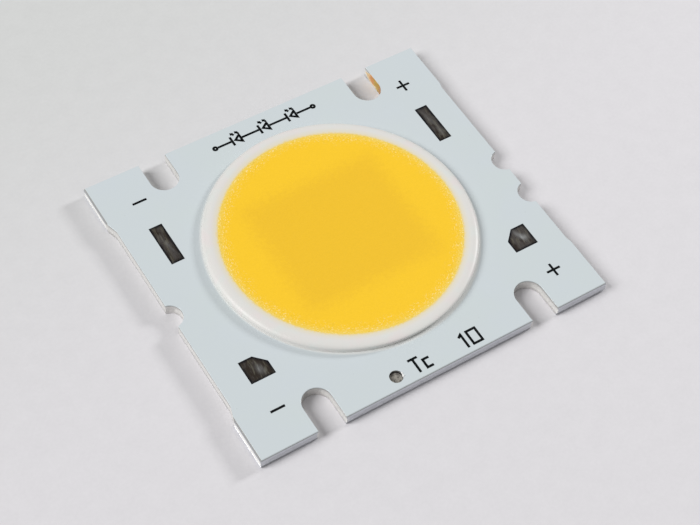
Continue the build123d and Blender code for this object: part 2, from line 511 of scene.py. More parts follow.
@dataclass(frozen=True)
class BoardCore(Finish):
    """Aluminium core: rolled faces, scored flanks, snapped land, punched walls, drilled cup."""

    grain: tuple[float, ...] = (9.0, 3.0, 0.0, 1.0)
    relief: float = 0.015
    colour: Colour = (0.66, 0.67, 0.69)
    streak: Colour = (0.50, 0.50, 0.52)
    flank: Colour = (0.56, 0.58, 0.62)
    land: Colour = (0.90, 0.89, 0.86)
    wall: Colour = (0.80, 0.79, 0.765)
    pit: Colour = (0.50, 0.49, 0.47)
    cup: Colour = (0.50, 0.475, 0.42)
    cup_dark: Colour = (0.12, 0.11, 0.10)
    # Near-black painted shade on the probe cup's side wall.
    shaded_bore: Colour = (0.030, 0.028, 0.030)
    smooth_gloss: Point = (0.24, 0.40)
    torn_gloss: Point = (0.50, 0.70)

    def detail(self, g: Surface) -> Any:
        """Returns a tone for each way that the metal was parted, and sets its gloss."""
        torn, cut, drilled = (g.attribute(name) for name in ("torn", "cut", "drilled"))
        side = g.ramp(g.facing(2), 0.75, 0.5)
        rolled = g.mix(g.times(g.streaks(g.place, 2.5, 0.03), 0.5), self.colour, self.streak)
        walls = g.mix(g.times(g.value, 0.50), self.wall, self.pit)
        snapped = g.mix(g.times(g.specks(5.0, 0.35, 0.30), 0.20), self.land, self.pit)
        sides = g.mix(cut, g.mix(torn, self.flank, snapped), walls)
        blotch = g.ramp(g.noise(g.place, 3.2, 4.0, 0.75), 0.36, 0.62)
        # The cup's side wall takes the near-black painted shade; its floor keeps dark and light
        # blotches.
        cup = g.mix(side, g.mix(blotch, self.cup_dark, self.cup), self.shaded_bore)
        dull = g.math("MAXIMUM", g.times(torn, side), drilled)
        g.feed(g.shader, "Metallic", g.span(dull, 1.0, 0.15))
        smooth, rough = (g.span(g.value, *ends) for ends in (self.smooth_gloss, self.torn_gloss))
        gloss = g.add("ShaderNodeMix", {0: dull, 2: smooth, 3: rough}, data_type="FLOAT")
        g.feed(g.shader, "Roughness", gloss.outputs[0])
        return g.mix(drilled, g.mix(side, rolled, sides), cup)


@dataclass(frozen=True)
class Tin(Finish):
    """Levelled tin, smeared brown and grey, with painted reflections: near black at its edges,
    bright on its crown.
    """

    grain: tuple[float, ...] = (10.0, 2.0, 0.22, 0.42)
    relief: float = 0.012
    # Painted reflection: the tin goes near black where its crown falls to the edges and bright in
    # its patches, standing in for the surroundings that the domed tin reflects.
    dark_edge_reflection: Colour = (0.024, 0.025, 0.034)
    middle: Colour = (0.180, 0.162, 0.150)
    brown: Colour = (0.090, 0.072, 0.058)
    olive: Colour = (0.330, 0.310, 0.235)
    painted_reflection: Colour = (0.72, 0.74, 0.74)
    lay: float = 98.0

    def detail(self, g: Surface) -> Any:
        """Returns the colour with the painted dark edge, the painted bright patches and the long
        smears.
        """
        inward, sheen = g.attribute("inward"), g.attribute("sheen")
        mapped = {"Vector": g.place, "Rotation": (0.0, 0.0, math.radians(self.lay))}
        turned = g.add("ShaderNodeMapping", mapped).outputs[0]
        broad, thin = g.streaks(turned, 0.95, 0.42), g.streaks(turned, 3.4, 0.22)
        smear = g.math("MULTIPLY_ADD", thin, 0.4, g.times(broad, 0.6))
        uneven = g.math("MULTIPLY_ADD", smear, 1.1, g.math("SUBTRACT", inward, 0.80))
        body = g.mix(g.ramp(uneven, 0.0, 0.85), self.dark_edge_reflection, self.middle)
        soiled = g.mix(g.times(g.ramp(broad, 0.62, 0.36), inward), body, self.brown)
        lines = g.times(g.ramp(thin, 0.56, 0.80), g.times(inward, 0.55))
        lit = g.times(sheen, g.span(thin, 0.30, 1.15))
        return g.mix(lit, g.mix(lines, soiled, self.olive), self.painted_reflection)


@dataclass(frozen=True)
class AmberFilm(Finish):
    """Dried amber: pale at the slot's mouth, then orange, olive and brown, with a cream fringe."""

    grain: tuple[float, ...] = (6.0, 2.0, 0.20, 0.45)
    relief: float = 0.02
    mouth: Colour = srgb(222, 190, 138)
    orange: Colour = srgb(205, 138, 72)
    olive: Colour = srgb(186, 150, 48)
    brown: Colour = srgb(172, 112, 44)
    fringe: Colour = srgb(236, 224, 196)

    def detail(self, g: Surface) -> Any:
        """Returns the change of tone along the film, its blotches and its pale fringe."""
        along = g.attribute("along")
        run = g.ragged(along, 0.28, 1.9, 3.0, 0.65)
        tone: Any = self.mouth
        for low, high, colour in (
            (0.16, 0.36, self.orange),
            (0.40, 0.58, self.olive),
            (0.66, 0.86, self.brown),
        ):
            tone = g.mix(g.ramp(run, low, high), tone, colour)
        lift = g.ragged(g.attribute("height"), 0.30, 3.4, 3.0, 0.7)
        thin = g.times(g.ramp(lift, 0.30, 0.06), g.ramp(along, 0.75, 0.55))
        return g.mix(thin, tone, self.fringe)


# Meshes


class Shell:
    """Collects rings of points in millimetres and closes them into one mesh in metres."""

    def __init__(self) -> None:
        """Starts empty."""
        self.points: list[Point3] = []
        self.faces: list[tuple[int, ...]] = []
        self.caps: list[tuple[list[int], ...]] = []
        self.marks: dict[str, dict[int, float]] = {}

    def ring(self, points: Iterable[Point3]) -> list[int]:
        """Adds points and returns their numbers."""
        start = len(self.points)
        self.points.extend(points)
        return list(range(start, len(self.points)))

    def level(self, points: Iterable[Point], z: float) -> list[int]:
        """Adds points of one height and returns their numbers."""
        return self.ring((x, y, z) for x, y in points)

    def mark(self, name: str, numbers: Sequence[int], values: Sequence[float]) -> None:
        """Writes a value of a named attribute on each of the numbered points."""
        self.marks.setdefault(name, {}).update(zip(numbers, values))

    def loft(self, first: Sequence[int], second: Sequence[int]) -> None:
        """Joins two rings of equal length with four-sided faces."""
        for i, j in around(len(first)):
            self.faces.append((first[i], first[j], second[j], second[i]))

    def lofts(self, rings: Sequence[Sequence[int]]) -> None:
        """Joins each ring of a row to the next."""
        for first, second in zip(rings, rings[1:]):
            self.loft(first, second)

    def ends(self, rings: Sequence[Sequence[int]]) -> None:
        """Closes a row of lofted rings with one face at each end."""
        self.faces += [tuple(rings[0]), tuple(reversed(rings[-1]))]

    def cap(self, *loops: list[int]) -> None:
        """Asks for one flat face inside the first loop and outside the others."""
        self.caps.append(loops)

    def fan(self, ring: Sequence[int], apex: int) -> None:
        """Closes a ring with triangles to an apex."""
        self.faces += [(ring[i], ring[j], apex) for i, j in around(len(ring))]

    def build(self, name: str, smooth: float = 35.0) -> bpy.types.Object:
        """Makes the mesh object.

        Args:
            name: the piece's name.
            smooth: the largest angle in degrees that is shaded as one surface.

        Returns:
            The new object, linked to the scene, with its filled caps shaded flat.
        """
        bm = bmesh.new()
        layers = {key: bm.verts.layers.float.new(key) for key in self.marks}
        verts = [bm.verts.new(Vector(p) * MM) for p in self.points]
        for key, values in self.marks.items():
            for number, value in values.items():
                verts[number][layers[key]] = value
        for face in self.faces:
            bm.faces.new([verts[i] for i in face])
        for loops in self.caps:
            edges = []
            for loop in loops:
                for i, j in around(len(loop)):
                    ends = (verts[loop[i]], verts[loop[j]])
                    edges.append(bm.edges.get(ends) or bm.edges.new(ends))
            bmesh.ops.triangle_fill(bm, edges=edges, use_beauty=True)
        bmesh.ops.recalc_face_normals(bm, faces=bm.faces)
        mesh = bpy.data.meshes.new(name)
        bm.to_mesh(mesh)
        bm.free()
        piece = finish_mesh(mesh, name, smooth)
        for polygon in mesh.polygons[len(self.faces):]:
            polygon.use_smooth = False
        return piece


def around(count: int) -> list[tuple[int, int]]:
    """Each number of a closed ring with the next."""
    return [(i, (i + 1) % count) for i in range(count)]


def finish_mesh(mesh: bpy.types.Mesh, name: str, smooth: float) -> bpy.types.Object:
    """Shades a mesh smooth below an angle and links it to the scene as an object."""
    mesh.polygons.foreach_set("use_smooth", [True] * len(mesh.polygons))
    mesh.set_sharp_from_angle(angle=math.radians(smooth))
    piece = bpy.data.objects.new(name, mesh)
    bpy.context.scene.collection.objects.link(piece)
    return piece


def dress(
    piece: bpy.types.Object,
    material: bpy.types.Material,
    slot: Slot | None = None,
    node: str | None = None,
) -> None:
    """Gives a new piece its finish and its place in the frame.

    Args:
        piece: the new object.
        material: its finish.
        slot: the record's material slot, where there is one; not used.
        node: the CAD node that it stands for, where there is one.
    """
    piece.data.materials.clear()
    piece.data.materials.append(material)
    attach(piece, BODY)
    if node:
        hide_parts(node)
    log.info("piece %s: %d faces", piece.name, len(piece.data.polygons))


def circle(centre: Point, radius: float, count: int) -> list[Point]:
    """Points of a full circle."""
    turns = [2 * math.pi * i / count for i in range(count)]
    return [(centre[0] + radius * math.cos(t), centre[1] + radius * math.sin(t)) for t in turns]


def divided(start: Point, end: Point, count: int) -> list[Point]:
    """Evenly spaced points of a straight run, the end left out."""
    (x0, y0), (x1, y1) = start, end
    return [(x0 + (x1 - x0) * i / count, y0 + (y1 - y0) * i / count) for i in range(count)]


def stepped(corners: Sequence[Point], closed: bool, step: float) -> list[Point]:
    """Points along a line of corners, set about a step apart, the last corner left out."""
    points: list[Point] = []
    for start, end in zip(corners, [*corners[1:], corners[0]] if closed else corners[1:]):
        points += divided(start, end, max(1, round(math.dist(start, end) / step)))
    return points


def wobble(x: float, y: float, z: float, scale: float, seed: float = 0.0) -> float:
    """Smooth noise between -1 and 1 at a place in millimetres."""
    return noise.noise(Vector((x * scale + seed, y * scale - seed, z * scale + 2 * seed)))


# Board


@dataclass(frozen=True)
class Stretch:
    """A straight run or an arc of the board's outline."""

    kind: Edge
    start: Point
    end: Point
    centre: Point | None = None
    radius: float = 0.0
    turn: Point = (0.0, 0.0)

    def length(self) -> float:
        """Length of the stretch."""
        if self.centre:
            return self.radius * abs(self.turn[1] - self.turn[0])
        return math.dist(self.start, self.end)

    def points(self, count: int) -> list[Point]:
        """Evenly spaced points, the end left out."""
        if not self.centre:
            return divided(self.start, self.end, count)
        (low, high), (cx, cy), r = self.turn, self.centre, self.radius
        turns = [low + (high - low) * i / count for i in range(count)]
        return [(cx + r * math.cos(t), cy + r * math.sin(t)) for t in turns]


@dataclass(frozen=True)
class BoardPlan:
    """The board's outline with its slots, side reliefs and half-round notches."""

    width: float = 44.4
    depth: float = 40.0
    slot_width: float = 3.45
    slot_reach: float = 4.75
    slot_spacing: float = 27.5
    relief_inset: float = 0.28
    relief_length: float = 25.8
    relief_flank: float = 0.9
    notch_radius: float = 1.48
    notch_inset: float = 0.05
    notch_pitch: float = 5.35
    step: float = 0.22

    def stretches(self, out: float, eat: float) -> list[Stretch]:
        """Lists the outline's stretches, counterclockwise from the front left corner.

        Args:
            out: how far the scored edges stand outside the top face's outline.
            eat: how far the punched walls stand back into the board.

        Returns:
            The stretches in order.
        """
        w, d = self.width / 2 + out, self.depth / 2 + out
        r = self.slot_width / 2 + eat
        yc = self.depth / 2 - self.slot_reach + self.slot_width / 2
        result: list[Stretch] = []
        here = (-w, -d)

        def run(x: float, y: float, kind: Edge = Edge.PUNCHED) -> None:
            """Adds a straight run."""
            nonlocal here
            result.append(Stretch(kind, here, (x, y)))
            here = (x, y)

        def arc(centre: Point, radius: float, low: float, high: float) -> None:
            """Adds a punched arc."""
            nonlocal here
            end = (centre[0] + radius * math.cos(high), centre[1] + radius * math.sin(high))
            result.append(Stretch(Edge.PUNCHED, here, end, centre, radius, (low, high)))
            here = end

        def slot(x: float, side: int) -> None:
            """Adds one open slot, on the front edge for -1 or the back edge for 1."""
            run(x + side * r, side * d, Edge.SCORED)
            run(x + side * r, side * yc)
            start = math.pi if side < 0 else 0.0
            arc((x, side * yc), r, start, start - math.pi)
            run(x - side * r, side * d)

        def side_edge(side: int, notches: Sequence[float]) -> None:
            """Adds one side edge, the right one for 1 or the left one for -1."""
            inner = PATTERN_SHIFT + side * (self.width / 2 - self.relief_inset - eat)
            line = PATTERN_SHIFT + side * (self.width / 2 - self.notch_inset)
            half = self.relief_length / 2
            reach = half + abs(side * w - inner) * self.relief_flank / self.relief_inset
            radius = self.notch_radius + eat
            across = inner - line
            rise = math.sqrt(radius**2 - across**2)
            run(side * w, -side * reach, Edge.SCORED)
            run(inner, -side * half)
            for y in notches:
                run(inner, y - side * rise)
                low, high = (math.atan2(end * rise, across) for end in (-side, side))
                arc((line, y), radius, low, high - 2 * math.pi if side > 0 else high)
            run(inner, side * half)
            run(side * w, side * reach)
            run(side * w, side * d, Edge.SCORED)

        left, right = (PATTERN_SHIFT + s * self.slot_spacing / 2 for s in (-1, 1))
        slot(left, -1)
        slot(right, -1)
        run(w, -d, Edge.SCORED)
        side_edge(1, (-self.notch_pitch, 0.0))
        slot(right, 1)
        slot(left, 1)
        run(-w, d, Edge.SCORED)
        side_edge(-1, (0.0,))
        return result

    def outline(self, out: float, eat: float) -> list[tuple[float, float, Edge]]:
        """Points of the outline with their kind, in equal number for every out and eat."""
        points = []
        for nominal, actual in zip(self.stretches(0.0, 0.0), self.stretches(out, eat)):
            count = max(2, round(nominal.length() / self.step))
            points += [(x, y, actual.kind) for x, y in actual.points(count)]
        return points


@dataclass
class Board:
    """Core, dielectric and mask, with scored, snapped and punched edges."""

    plan: BoardPlan
    score_depth: float = 0.40
    score_setback: float = 0.12
    mask_opening: float = 14.21
    probe_radius: float = 0.77
    probe_floor: float = 1.12
    die_window: Point = (18.7, 16.1)
    shoulder: float = 0.035

    def setting(self, z: float) -> float:
        """How far the blank stands out at a height, by the two V flanks and the land."""
        from_face = min(z, BOARD_TOP - z)
        return self.score_setback * min(1.0, max(0.0, from_face / self.score_depth))

    def ring(
        self, shell: Shell, z: float, out: float, eat: float, torn: float, rough: float
    ) -> list[int]:
        """Adds one ring of the outline.

        Args:
            shell: the mesh that takes the ring.
            z: its height.
            out: how far its scored edges stand out.
            eat: how far its punched walls stand back.
            torn: how rough the snapped metal is.
            rough: how rough the punched walls are.

        Returns:
            The numbers of the ring's points.
        """
        plan = self.plan.outline(out, eat)
        points: list[Point3] = []
        marks: list[float] = []
        for i, (x, y, kind) in enumerate(plan):
            (x0, y0, _), (x1, y1, _) = plan[i - 1], plan[(i + 1) % len(plan)]
            run = math.hypot(x1 - x0, y1 - y0) or 1.0
            nx, ny = (y1 - y0) / run, -(x1 - x0) / run
            amount = torn if kind is Edge.SCORED else rough
            back = amount * (0.6 + 0.4 * wobble(x, y, z, 3.1) + 0.5 * wobble(x, y, z, 9.0, 4.0))
            back = max(0.0, back) if amount else 0.0
            points.append((x - nx * back, y - ny * back, z))
            marks.append(1.0 if abs(nx) > 0.7 else 0.12)
        numbers = shell.ring(points)
        shell.mark("torn", numbers, marks if torn else [0.0] * len(plan))
        shell.mark("cut", numbers, [1.0 if k is Edge.PUNCHED else 0.0 for _, _, k in plan])
        return numbers

    def layer(
        self,
        name: str,
        levels: Sequence[tuple[float, float, float, float, float]],
        openings: Sequence[Sequence[Point]],
    ) -> bpy.types.Object:
        """Builds a layer with straight openings.

        Args:
            name: the piece's name.
            levels: each ring's height, setting out, setting back, tear and roughness.
            openings: the openings' outlines.

        Returns:
            The new object.
        """
        shell = Shell()
        rings = [self.ring(shell, *level) for level in levels]
        shell.lofts(rings)
        holes = [[shell.level(outline, levels[end][0]) for end in (0, -1)] for outline in openings]
        for bottom, top in holes:
            shell.loft(bottom, top)
        for end in (0, -1):
            shell.cap(rings[end], *[hole[end] for hole in holes])
        return shell.build(name)

    def probe_hole(self, share: float = 1.0) -> list[Point]:
        """Outline of the probe hole, or of a smaller circle inside it."""
        return circle(PROBE, self.probe_radius * share, 48)

    def core(self) -> bpy.types.Object:
        """Builds the aluminium core."""
        shell = Shell()
        land = BOARD_TOP - self.score_depth
        s = self.score_setback
        levels = (
            (0.0, 0.0, 0.05, 0.0, 0.0),
            (0.03, self.setting(0.03), 0.015, 0.0, 0.004),
            (0.20, self.setting(0.20), 0.0, 0.0, 0.01),
            (self.score_depth, s, 0.0, 0.0, 0.012),
            (self.score_depth + 0.01, s, 0.0, 0.03, 0.012),
            (0.60, s, 0.0, 0.05, 0.02),
            (0.80, s, 0.0, 0.06, 0.02),
            (1.00, s, 0.0, 0.05, 0.012),
            (land - 0.01, s, 0.0, 0.03, 0.01),
            (land, s, 0.0, 0.0, 0.01),
            (CORE_TOP, self.setting(CORE_TOP), 0.0, 0.0, 0.0),
        )
        rings = [self.ring(shell, *level) for level in levels]
        shell.lofts(rings)
        floor = shell.level(self.probe_hole(0.96), self.probe_floor)
        rim = shell.level(self.probe_hole(), CORE_TOP)
        shell.loft(floor, rim)
        inner = shell.level(circle(PROBE, self.probe_radius * 0.6, 48), self.probe_floor - 0.01)
        shell.loft(floor, inner)
        tip = shell.level([PROBE], self.probe_floor - 0.03)
        shell.fan(inner, tip[0])
        drilled = [*floor, *rim, *inner, *tip]
        shell.mark("drilled", drilled, [1.0] * len(drilled))
        shell.cap(rings[0])
        shell.cap(rings[-1], rim)
        return shell.build("board_core")

    def dielectric(self) -> bpy.types.Object:
        """Builds the filled epoxy layer with its window under the dies."""
        rough = ((CORE_TOP, 0.0), (1.44, 0.012), (DIELECTRIC_TOP, 0.0))
        levels = [(z, self.setting(z), 0.0, 0.0, share) for z, share in rough]
        window = rounded_rectangle(FIELD, self.die_window, 1.0, 8)
        return self.layer("dielectric_sheet", levels, [self.probe_hole(), window])

    def mask(self, pads: Sequence[Sequence[Point]]) -> bpy.types.Object:
        """Builds the mask with its rolled shoulders and its openings."""
        k = self.shoulder
        levels = (
            (DIELECTRIC_TOP, self.setting(DIELECTRIC_TOP), 0.0, 0.0, 0.0),
            (BOARD_TOP - 0.05, self.setting(BOARD_TOP - 0.05), 0.0, 0.0, 0.012),
            (BOARD_TOP - 0.025, self.setting(BOARD_TOP - 0.02) - k * 0.2, k * 0.3, 0.0, 0.01),
            (BOARD_TOP - 0.008, -k * 0.5, k * 0.7, 0.0, 0.006),
            (BOARD_TOP, -k, k * 1.3, 0.0, 0.0),
        )
        field = circle(FIELD, self.mask_opening, 192)
        return self.layer("solder_mask_coat", levels, [field, self.probe_hole(), *pads])


def rounded_rectangle(centre: Point, size: Point, radius: float, steps: int) -> list[Point]:
    """Points of a rectangle with round corners, counterclockwise."""
    points = []
    for corner, (sx, sy) in enumerate(((1, 1), (-1, 1), (-1, -1), (1, -1))):
        cx = centre[0] + sx * (size[0] / 2 - radius)
        cy = centre[1] + sy * (size[1] / 2 - radius)
        for i in range(steps + 1):
            turn = math.pi / 2 * (corner + i / steps)
            points.append((cx + radius * math.cos(turn), cy + radius * math.sin(turn)))
    return points


def inside_by(x: float, y: float, corners: Sequence[Point]) -> float:
    """How far a place lies inside a convex outline whose corners run counterclockwise."""
    gaps = []
    for (x0, y0), (x1, y1) in zip(corners, [*corners[1:], corners[0]]):
        run = math.dist((x0, y0), (x1, y1))
        gaps.append(((x1 - x0) * (y - y0) - (y1 - y0) * (x - x0)) / run)
    return max(0.0, min(gaps))


@dataclass(frozen=True)
class ReflectionPatch:
    """A painted reflection patch of the tin: its place from the pad's middle, its size, lean and
    share.
    """

    x: float
    y: float
    wide: float
    tall: float
    lean: float
    share: float

    def light(self, x: float, y: float) -> float:
        """How much it brightens a place."""
        along = y - self.y
        across = (x - self.x + self.lean * along) / self.wide
        return self.share * math.exp(-across * across - (along / self.tall) ** 2)


@dataclass(frozen=True)
class Pad:
    """A bare tinned pad in an opening of the mask."""

    node: str
    side: int
    bar: bool
    reflections: tuple[ReflectionPatch, ...]
    line: float = 18.70
    bar_size: Point = (1.65, 5.50)
    bar_y: float = 8.69
    cut_size: float = 3.00
    cut_corner: float = 1.29
    cut_y: float = -10.21
    lift: float = 0.006
    crown: float = 0.022
    shoulder: float = 0.16
    ripple: float = 0.0035
    dark_reflection_reach: float = 0.42
    step: float = 0.12

    def centre(self) -> Point:
        """Middle of the pad."""
        half = self.bar_size[0] / 2 if self.bar else self.cut_size / 2
        x = PATTERN_SHIFT + self.side * (self.line - half)
        return (x, self.bar_y if self.bar else self.cut_y)

    def outline(self) -> list[Point]:
        """Corners of the pad, counterclockwise."""
        x, y = self.centre()
        if self.bar:
            w, h = self.bar_size[0] / 2, self.bar_size[1] / 2
            corners = [(-w, -h), (w, -h), (w, h), (-w, h)]
        else:
            half, c = self.cut_size / 2, self.cut_corner
            corners = [(-half, -half), (half, -half), (half, half)]
            corners += [(c - half, half), (-half, half - c)]
            if self.side < 0:
                corners = [(-px, py) for px, py in reversed(corners)]
        return [(x + px, y + py) for px, py in corners]

    def build(self) -> bpy.types.Object:
        """Builds the tin with a low crown that falls to its edges."""
        corners = self.outline()
        rim = stepped(corners, True, self.step)
        cx, cy = (sum(values) / len(corners) for values in zip(*corners))
        shell = Shell()
        rings = [shell.level(rim, COPPER_TOP)]
        for share in (1.0, 0.975, 0.94, 0.89, 0.82, 0.73, 0.62, 0.50, 0.37, 0.24, 0.11):
            ring = [(cx + (x - cx) * share, cy + (y - cy) * share) for x, y in rim]
            rings.append(self.level(shell, ring, corners))
        shell.lofts(rings)
        shell.fan(rings[-1], self.level(shell, [(cx, cy)], corners)[0])
        shell.cap(rings[0])
        return shell.build("tin_on_" + self.node, 40.0)

    def level(self, shell: Shell, ring: Sequence[Point], corners: Sequence[Point]) -> list[int]:
        """Adds one ring of the tin's face, with its height and its two marks for the painted
        reflections.
        """
        points, inward, sheen = [], [], []
        px, py = self.centre()
        for x, y in ring:
            depth = inside_by(x, y, corners)
            rise = self.crown * (1 - math.exp(-depth / self.shoulder))
            ripple = self.ripple * wobble(x, y, 0.0, 1.3, 6.0) * min(1.0, depth / 0.3)
            points.append((x, y, COPPER_TOP + self.lift + rise + ripple))
            inward.append(min(1.0, depth / self.dark_reflection_reach))
            sheen.append(min(1.0, sum(reflection.light(x - px, y - py) for reflection in self.reflections)))
        numbers = shell.ring(points)
        shell.mark("inward", numbers, inward)
        shell.mark("sheen", numbers, sheen)
        return numbers


# Light field


@dataclass
class LightField:
    """White dam bead and the phosphor gel inside it."""

    foot_radius: float = 13.10
    opening_radius: float = 14.21
    contact_radius: float = 15.38
    belly: Point = (15.60, 1.95)
    crest: Point = (14.75, 2.55)
    segments: int = 288
    gel_rings: Sequence[float] = (13.6, 13.3, 12.9, 12.3, 11.5, 10.5, 9.0, 7.5, 6.0, 4.5, 3.0, 1.5)
    gel_sink: float = 0.03
    gel_ripple: float = 0.004
    loose_from: float = 14.3
    loose_over: float = 1.3
    wave: float = 0.02
    slump: float = 0.08
    left_swell: float = 0.10
    swell_towards: Point = (-0.906, -0.423)
    front_lift: float = 0.58
    front_pull: float = 0.10
    foot_spread: float = 0.36
    foot_towards: Point = (-0.82, -0.57)

    def section(self) -> list[Point]:
        """Radius and height around the bead, from its inner foot out, over and back in."""
        (bx, bz), (cx, cz) = self.belly, self.crest
        contact = self.contact_radius
        section = [
            (self.foot_radius, DIELECTRIC_TOP),
            (self.opening_radius, DIELECTRIC_TOP),
            (self.opening_radius, BOARD_TOP),
            (contact, BOARD_TOP),
        ]
        for i in range(1, 8):
            turn = math.pi / 2 * i / 8
            out = contact + (bx - contact) * math.sin(turn)
            section.append((out, bz - (bz - BOARD_TOP) * math.cos(turn)))
        for i in range(13):
            turn = math.pi / 2 * i / 12
            section.append((cx + (bx - cx) * math.cos(turn), bz + (cz - bz) * math.sin(turn)))
        for i in range(1, 7):
            t = i / 6
            section.append((cx + (GEL_RADIUS - cx) * t, cz + (GEL_TOP - cz) * t * t * (3 - 2 * t)))
        return section

    def place(self, x: float, y: float, r: float, z: float, free: bool) -> Point3:
        """Place of one point of the bead, slumped, swollen at the left and steep at the front.

        Args:
            x: first part of its direction from the field's centre.
            y: second part of that direction.
            r: its radius in the plain section.
            z: its height in the plain section.
            free: whether it may move off the plain section.

        Returns:
            The point.
        """
        (bx, bz), (cx, cz) = self.belly, self.crest
        reach, height = r, z
        if free:
            share = min(1.0, max(0.0, (r - self.loose_from) / self.loose_over))
            swell = self.slump + self.left_swell * towards(x, y, self.swell_towards) ** 4
            reach = r + share * swell - abs(self.wave * wobble(x, y, 0.0, 2.3, 1.0))
        if self.contact_radius <= r and z < bz:
            under = (bx - r) / (bx - self.contact_radius)
            reach += under * self.foot_spread * towards(x, y, self.foot_towards) ** 4
        if free and r >= cx:
            front = towards(x, y, (0.0, -1.0)) ** 2
            reach -= self.front_pull * front
            rise = (z - BOARD_TOP) / (cz - BOARD_TOP)
            height = BOARD_TOP + (cz - BOARD_TOP) * rise ** (1 - self.front_lift * front)
        return (FIELD[0] + x * reach, FIELD[1] + y * reach, height)

    def dam(self) -> bpy.types.Object:
        """Builds the bead as a ring of round section, undercut at its foot."""
        shell = Shell()
        section = self.section()
        around_it = circle((0.0, 0.0), 1.0, self.segments)
        rings = []
        for number, (r, z) in enumerate(section):
            free = 4 <= number < len(section) - 1
            rings.append(shell.ring(self.place(x, y, r, z, free) for x, y in around_it))
        shell.lofts([*rings, rings[0]])
        return shell.build("dam_bead", 50.0)

    def gel(self) -> bpy.types.Object:
        """Builds the poured gel with a faint meniscus at the dam."""
        shell = Shell()
        foot = circle(FIELD, self.foot_radius, self.segments)
        rings = [shell.level(foot, z) for z in (CORE_TOP, DIELECTRIC_TOP)]
        bump = self.gel_ripple
        for r in (GEL_RADIUS, *self.gel_rings):
            top = GEL_TOP - self.gel_sink * (1 - (r / GEL_RADIUS) ** 12)
            plan = circle(FIELD, r, self.segments)
            ring = [(x, y, top + bump * wobble(x, y, 0.0, 0.5, 3.0) - bump) for x, y in plan]
            rings.append(shell.ring(ring))
        shell.lofts(rings)
        shell.fan(rings[-1], shell.level([FIELD], GEL_TOP - self.gel_sink - bump)[0])
        shell.cap(rings[0])
        return shell.build("phosphor_fill", 40.0)


def towards(x: float, y: float, way: Point) -> float:
    """How far a direction points a given way, and 0 when it points off it."""
    return max(0.0, way[0] * x + way[1] * y)


# Printed legend


